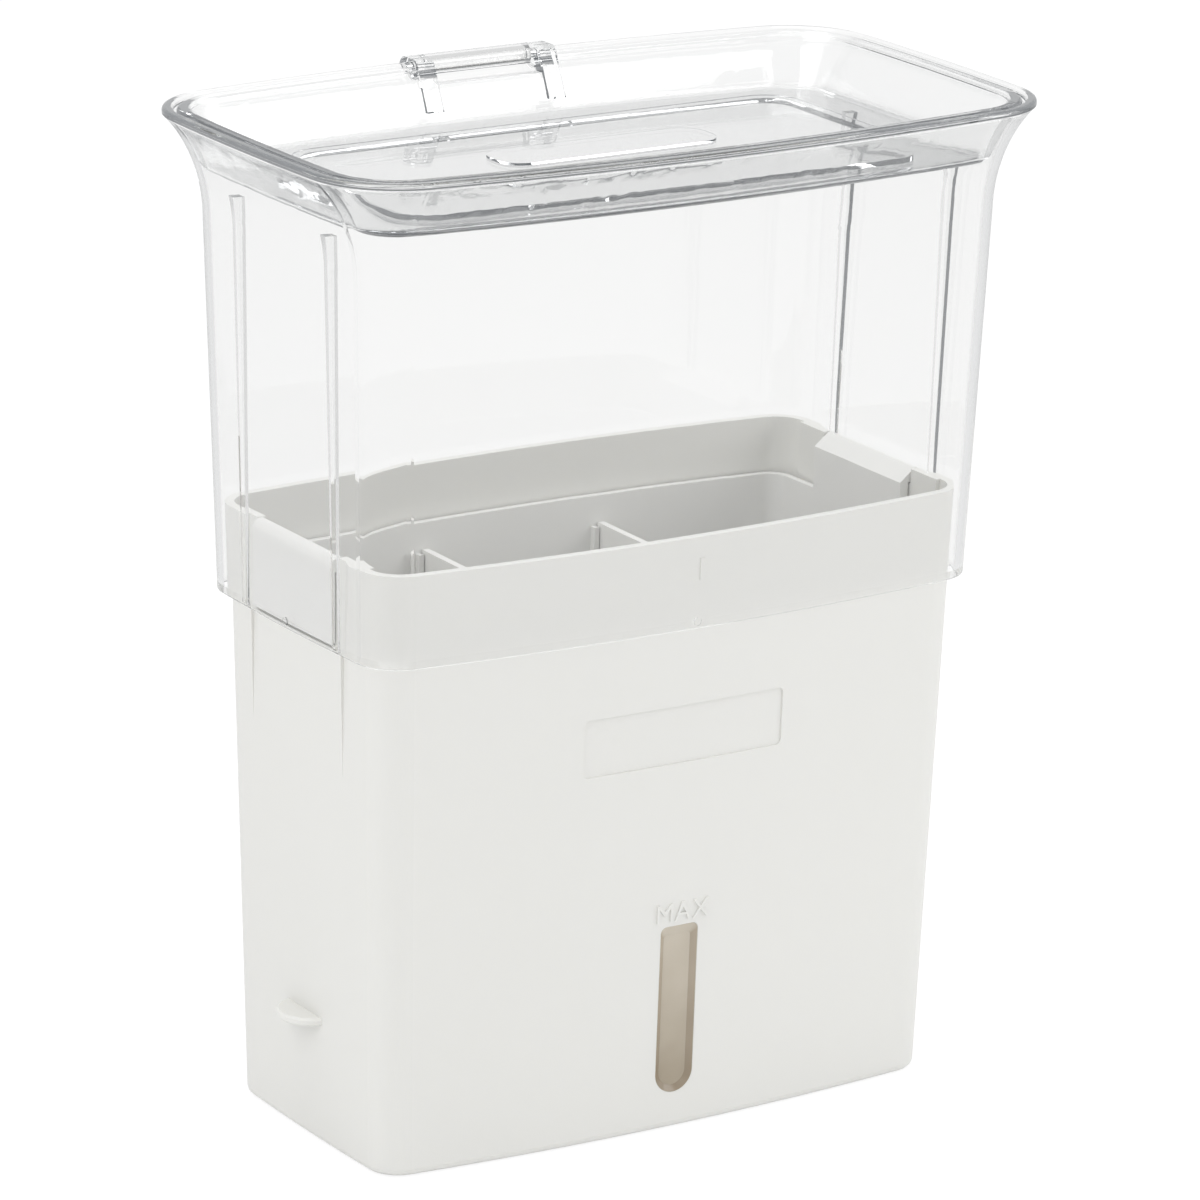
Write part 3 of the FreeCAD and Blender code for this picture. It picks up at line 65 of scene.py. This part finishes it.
# The range in which most of a noise texture's values lie.
NOISE_LOW = 0.3
NOISE_HIGH = 0.7

# Light of this colour and strength shows as white.
BACKDROP = (1.0, 1.0, 1.0)
BACKDROP_STRENGTH = 1.0
# Reflections after which light comes from the dark room instead of the white backdrop.
ROOM_REFLECTIONS = 3.0
ROOM = (0.115, 0.125, 0.135)
FLOOR_PAPER = (0.93, 0.93, 0.93)
FLOOR_HALF_WIDTH = 6.0
# The floor lies a hair below the object's foot, so that the two faces don't mix.
FLOOR_DROP = 0.0002
# Strength of the floor's own light, and its share in what is seen of the floor.
FLOOR_GLOW = 1.08
FLOOR_GLOW_SHARE = 0.80
AMBIENT = (0.99, 0.99, 1.0)
AMBIENT_STRENGTH = 0.60
# Square lamps: name, place, width in metres and power in watts.
LAMPS = [
    ("key_front_right", (1.0, -0.75, 0.75), 0.9, 5.7),
    ("fill_left", (-1.5, -0.4, 1.4), 1.3, 11.5),
    ("top", (0.0, 0.2, 1.9), 1.4, 13.5),
]


# -------------------------------------------------------------------- nodes

def new_material(name):
    """A material with one shader, which is joined to its output."""
    material = bpy.data.materials.new(name)
    material.use_nodes = True
    tree = material.node_tree
    tree.nodes.clear()
    output = tree.nodes.new("ShaderNodeOutputMaterial")
    shader = tree.nodes.new("ShaderNodeBsdfPrincipled")
    tree.links.new(shader.outputs["BSDF"], output.inputs["Surface"])
    return material, tree, shader, output


def set_inputs(node, values):
    """Gives a node's inputs their values by name."""
    for name, value in values.items():
        node.inputs[name].default_value = value


def rgba(colour):
    """A colour with full opacity."""
    return (*colour, 1)


def noise(tree, scale, detail):
    """Noise in the object's own coordinates, in cycles per metre."""
    coordinates = tree.nodes.new("ShaderNodeTexCoord")
    texture = tree.nodes.new("ShaderNodeTexNoise")
    set_inputs(texture, {"Scale": scale, "Detail": detail, "Roughness": 0.5})
    tree.links.new(coordinates.outputs["Object"], texture.inputs["Vector"])
    return texture.outputs["Fac"]


def map_range(tree, value, start, end, low=0.0, high=1.0, curve="LINEAR"):
    """Turns a value that runs from start to end into one from low to high."""
    node = tree.nodes.new("ShaderNodeMapRange")
    node.interpolation_type = curve
    set_inputs(node, {"From Min": start, "From Max": end, "To Min": low, "To Max": high})
    tree.links.new(value, node.inputs["Value"])
    return node.outputs["Result"]


def spread_noise(tree, value, low, high):
    """Spreads a noise value over the range from low to high."""
    return map_range(tree, value, NOISE_LOW, NOISE_HIGH, low, high)


def calculate(tree, operation, first, second=None):
    """A Math node on one value, on two, or on a value and a plain number."""
    node = tree.nodes.new("ShaderNodeMath")
    node.operation = operation
    tree.links.new(first, node.inputs[0])
    if isinstance(second, bpy.types.NodeSocket):
        tree.links.new(second, node.inputs[1])
    elif second is not None:
        node.inputs[1].default_value = second
    return node.outputs["Value"]


def maximum(tree, values):
    """The largest of several values."""
    largest = values[0]
    for value in values[1:]:
        largest = calculate(tree, "MAXIMUM", largest, value)
    return largest


def bump(tree, height, distance, strength, before=None):
    """A normal that is tilted by a height, on top of the bump before it."""
    node = tree.nodes.new("ShaderNodeBump")
    set_inputs(node, {"Distance": distance, "Strength": strength})
    tree.links.new(height, node.inputs["Height"])
    if before is not None:
        tree.links.new(before, node.inputs["Normal"])
    return node.outputs["Normal"]


def blend(tree, value, first, second):
    """A colour between two others."""
    mix = tree.nodes.new("ShaderNodeMix")
    mix.data_type = "RGBA"
    set_inputs(mix, {"A": rgba(first), "B": rgba(second)})
    tree.links.new(value, mix.inputs["Factor"])
    return mix.outputs["Result"]


def multiply(tree, first, second):
    """Two colours multiplied."""
    mix = tree.nodes.new("ShaderNodeMix")
    mix.data_type = "RGBA"
    mix.blend_type = "MULTIPLY"
    mix.inputs["Factor"].default_value = 1.0
    tree.links.new(first, mix.inputs["A"])
    tree.links.new(second, mix.inputs["B"])
    return mix.outputs["Result"]


def drift(tree, colour, value, share):
    """A colour that drifts lighter and darker by a small share."""
    darker = [channel * (1 - share) for channel in colour]
    lighter = [min(1.0, channel * (1 + share)) for channel in colour]
    return blend(tree, value, darker, lighter)


def mix_shaders(tree, factor, first, second):
    """The first shader where the factor is 0, the second where it is 1."""
    mix = tree.nodes.new("ShaderNodeMixShader")
    tree.links.new(factor, mix.inputs["Fac"])
    tree.links.new(first, mix.inputs[1])
    tree.links.new(second, mix.inputs[2])
    return mix.outputs["Shader"]


# ---------------------------------------------------------------- materials

def moulded_plastic(name, colour, roughness):
    """Opaque satin plastic with a fine spark-eroded grain and faint flow marks."""
    material, tree, shader, _ = new_material(name)
    set_inputs(shader, {
        "IOR": OPAQUE_IOR,
        "Specular IOR Level": 0.45,
        "Subsurface Weight": 0.06,
        "Subsurface Radius": (0.0035, 0.0033, 0.0028),
        "Subsurface Scale": 1.0,
    })
    cloud = noise(tree, scale=14.0, detail=3.0)
    grain = noise(tree, scale=2600.0, detail=2.0)
    flow = noise(tree, scale=22.0, detail=1.0)
    tree.links.new(drift(tree, colour, cloud, share=0.012), shader.inputs["Base Color"])
    rough = spread_noise(tree, grain, roughness - GRAIN_ROUGHNESS, roughness + GRAIN_ROUGHNESS)
    tree.links.new(rough, shader.inputs["Roughness"])
    marks = bump(tree, flow, distance=0.0008, strength=0.08)
    normal = bump(tree, grain, distance=0.00006, strength=0.22, before=marks)
    tree.links.new(normal, shader.inputs["Normal"])
    return material


def bevel_painted_shade(tree, normal):
    """Painted shade for the window's bevel, dark where it faces sideways or up, light where down.
    """
    tilt = tree.nodes.new("ShaderNodeSeparateXYZ")
    tree.links.new(normal, tilt.inputs["Vector"])
    sideways = calculate(tree, "ABSOLUTE", tilt.outputs["X"])
    steep = maximum(tree, [sideways, tilt.outputs["Z"]])
    shaded = map_range(tree, steep, BEVEL_TILT_START, BEVEL_TILT_FULL)
    return blend(tree, shaded, BEVEL_PLAIN, BEVEL_PAINTED_SHADE)


def smoked_plastic(name):
    """Cloudy smoked plastic, darker towards its foot, that lets only a little light through."""
    material, tree, shader, _ = new_material(name)
    set_inputs(shader, {
        "Roughness": 0.18,
        "IOR": CLEAR_IOR,
        "Transmission Weight": 0.12,
        "Subsurface Weight": 0.10,
        "Subsurface Radius": (0.0010, 0.0009, 0.0007),
        "Subsurface Scale": 1.0,
    })
    coordinates = tree.nodes.new("ShaderNodeTexCoord")
    place = tree.nodes.new("ShaderNodeSeparateXYZ")
    tree.links.new(coordinates.outputs["Object"], place.inputs["Vector"])
    height = map_range(tree, place.outputs["Z"], SMOKE_LOW_Z, SMOKE_HIGH_Z)
    cloud = noise(tree, scale=90.0, detail=2.0)
    wander = spread_noise(tree, cloud, -SMOKE_CLOUD, SMOKE_CLOUD)
    face = blend(tree, calculate(tree, "ADD", height, wander), SMOKE_LOW, SMOKE_HIGH)
    # Painted shade darkens the window's bevel where it faces sideways or up.
    shade = bevel_painted_shade(tree, coordinates.outputs["Normal"])
    tree.links.new(multiply(tree, face, shade), shader.inputs["Base Color"])
    wave = noise(tree, scale=120.0, detail=1.0)
    normal = bump(tree, wave, distance=0.0003, strength=0.12)
    tree.links.new(normal, shader.inputs["Normal"])
    return material


def clear_plastic(name, colour, roughness, density):
    """Clear plastic. Light reaches what is inside it, and long paths in it darken."""
    material, tree, shader, output = new_material(name)
    set_inputs(shader, {
        "Base Color": rgba(colour),
        "Transmission Weight": 1.0,
        "IOR": CLEAR_IOR,
    })
    haze = noise(tree, scale=60.0, detail=3.0)
    smoother = roughness * (1 - HAZE_SHARE)
    rougher = roughness * (1 + HAZE_SHARE)
    rough = spread_noise(tree, haze, smoother, rougher)
    tree.links.new(rough, shader.inputs["Roughness"])
    wave = noise(tree, scale=16.0, detail=1.0)
    normal = bump(tree, wave, distance=0.0006, strength=0.03)
    tree.links.new(normal, shader.inputs["Normal"])

    # Shadow, diffuse and much reflected rays go straight on.
    pane = tree.nodes.new("ShaderNodeBsdfTransparent")
    pane.inputs["Color"].default_value = rgba(CLEAR_SHADE)
    path = tree.nodes.new("ShaderNodeLightPath")
    spent = calculate(tree, "GREATER_THAN", path.outputs["Glossy Depth"], INNER_REFLECTIONS)
    straight = maximum(tree, [path.outputs["Is Shadow Ray"], path.outputs["Is Diffuse Ray"], spent])
    surface = mix_shaders(tree, straight, shader.outputs["BSDF"], pane.outputs["BSDF"])
    tree.links.new(surface, output.inputs["Surface"])

    depth = tree.nodes.new("ShaderNodeVolumeAbsorption")
    set_inputs(depth, {"Color": rgba(CLEAR_DEPTH), "Density": density})
    tree.links.new(depth.outputs["Volume"], output.inputs["Volume"])
    return material


def dress(node, material):
    """Gives a CAD node its material in every slot that it has."""
    mesh = NODES[node].data
    if not mesh.materials:
        mesh.materials.append(material)
    for index in range(len(mesh.materials)):
        mesh.materials[index] = material


def dress_all():
    """Gives every CAD node its material."""
    white = moulded_plastic("white_satin_plastic", WHITE, roughness=0.36)
    basket = moulded_plastic("basket_satin_plastic", BASKET_WHITE, roughness=0.42)
    cover = clear_plastic("clear_plastic", COVER_CLEAR, roughness=0.015, density=5.0)
    lid = clear_plastic("lid_plastic", LID_CLEAR, roughness=0.015, density=3.0)
    pin = clear_plastic("pin_plastic", LID_CLEAR, roughness=0.05, density=3.0)
    finishes = {
        "reservoir": white,
        "level_window": smoked_plastic("smoked_plastic"),
        "basket": basket,
        "divider_left": basket,
        "divider_right": basket,
        "cover_sleeve": cover,
        "lid": lid,
        "hinge_pin": pin,
    }
    for node, material in finishes.items():
        dress(node, material)


# ------------------------------------------------------------------- studio

def seen_rays(tree):
    """1 for rays that the camera sends, also by way of gloss or clear plastic."""
    path = tree.nodes.new("ShaderNodeLightPath")
    kinds = ["Is Camera Ray", "Is Glossy Ray", "Is Transmission Ray"]
    return maximum(tree, [path.outputs[kind] for kind in kinds])


def backdrop_colour(tree):
    """White where it is seen straight or through plastic, darker with each reflection."""
    path = tree.nodes.new("ShaderNodeLightPath")
    mirrored = map_range(tree, path.outputs["Glossy Depth"], 0.0, ROOM_REFLECTIONS,
                         curve="SMOOTHSTEP")
    return blend(tree, mirrored, BACKDROP, ROOM)


def floor_material():
    """Pale paper that shows as white and keeps a soft shadow."""
    material, tree, shader, output = new_material("floor_paper")
    set_inputs(shader, {
        "Base Color": rgba(FLOOR_PAPER),
        "Roughness": 0.9,
        "Specular IOR Level": 0.1,
    })
    glow = tree.nodes.new("ShaderNodeEmission")
    glow.inputs["Strength"].default_value = FLOOR_GLOW
    tree.links.new(backdrop_colour(tree), glow.inputs["Color"])
    share = calculate(tree, "MULTIPLY", seen_rays(tree), FLOOR_GLOW_SHARE)
    surface = mix_shaders(tree, share, shader.outputs["BSDF"], glow.outputs["Emission"])
    tree.links.new(surface, output.inputs["Surface"])
    return material


def make_floor():
    """A square floor under the object."""
    half = FLOOR_HALF_WIDTH
    corners = [(-half, -half, 0), (half, -half, 0), (half, half, 0), (-half, half, 0)]
    mesh = bpy.data.meshes.new("floor")
    mesh.from_pydata(corners, [], [(0, 1, 2, 3)])
    mesh.materials.append(floor_material())
    floor = bpy.data.objects.new("floor", mesh)
    floor.location.z = -FLOOR_DROP
    bpy.context.collection.objects.link(floor)


def make_world():
    """Even soft light, with white where the background is seen."""
    world = bpy.data.worlds.new("studio")
    bpy.context.scene.world = world
    world.use_nodes = True
    tree = world.node_tree
    tree.nodes.clear()
    output = tree.nodes.new("ShaderNodeOutputWorld")
    ambient = tree.nodes.new("ShaderNodeBackground")
    set_inputs(ambient, {"Color": rgba(AMBIENT), "Strength": AMBIENT_STRENGTH})
    backdrop = tree.nodes.new("ShaderNodeBackground")
    backdrop.inputs["Strength"].default_value = BACKDROP_STRENGTH
    tree.links.new(backdrop_colour(tree), backdrop.inputs["Color"])
    surface = mix_shaders(tree, seen_rays(tree), ambient.outputs["Background"],
                          backdrop.outputs["Background"])
    tree.links.new(surface, output.inputs["Surface"])


def make_lamps():
    """Square area lamps that face the object's middle."""
    for name, place, width, power in LAMPS:
        data = bpy.data.lights.new(name, "AREA")
        data.shape = "SQUARE"
        data.size = width
        data.energy = power
        lamp = bpy.data.objects.new(name, data)
        lamp.location = Vector(place)
        towards = TARGET - lamp.location
        lamp.rotation_euler = towards.to_track_quat("-Z", "Y").to_euler()
        bpy.context.collection.objects.link(lamp)


def make_camera():
    """A camera that looks down at the target from the front left, slightly rolled."""
    forward = Vector((math.sin(AZIMUTH) * math.cos(ELEVATION),
                      math.cos(AZIMUTH) * math.cos(ELEVATION), -math.sin(ELEVATION)))
    level = Vector((math.cos(AZIMUTH), -math.sin(AZIMUTH), 0))
    upright = level.cross(forward)
    right = math.cos(ROLL) * level + math.sin(ROLL) * upright
    up = -math.sin(ROLL) * level + math.cos(ROLL) * upright
    data = bpy.data.cameras.new("camera")
    data.sensor_width = SENSOR_MM
    data.sensor_fit = "HORIZONTAL"
    data.lens = LENS_MM
    data.clip_start = NEAR_CLIP
    data.clip_end = FAR_CLIP
    camera = bpy.data.objects.new("camera", data)
    axes = Matrix((right, up, -forward)).transposed()
    camera.matrix_world = Matrix.Translation(TARGET - forward * DISTANCE) @ axes.to_4x4()
    bpy.context.collection.objects.link(camera)
    bpy.context.scene.camera = camera


dress_all()
make_floor()
make_world()
make_lamps()
make_camera()
bpy.context.scene.view_settings.view_transform = "Standard"
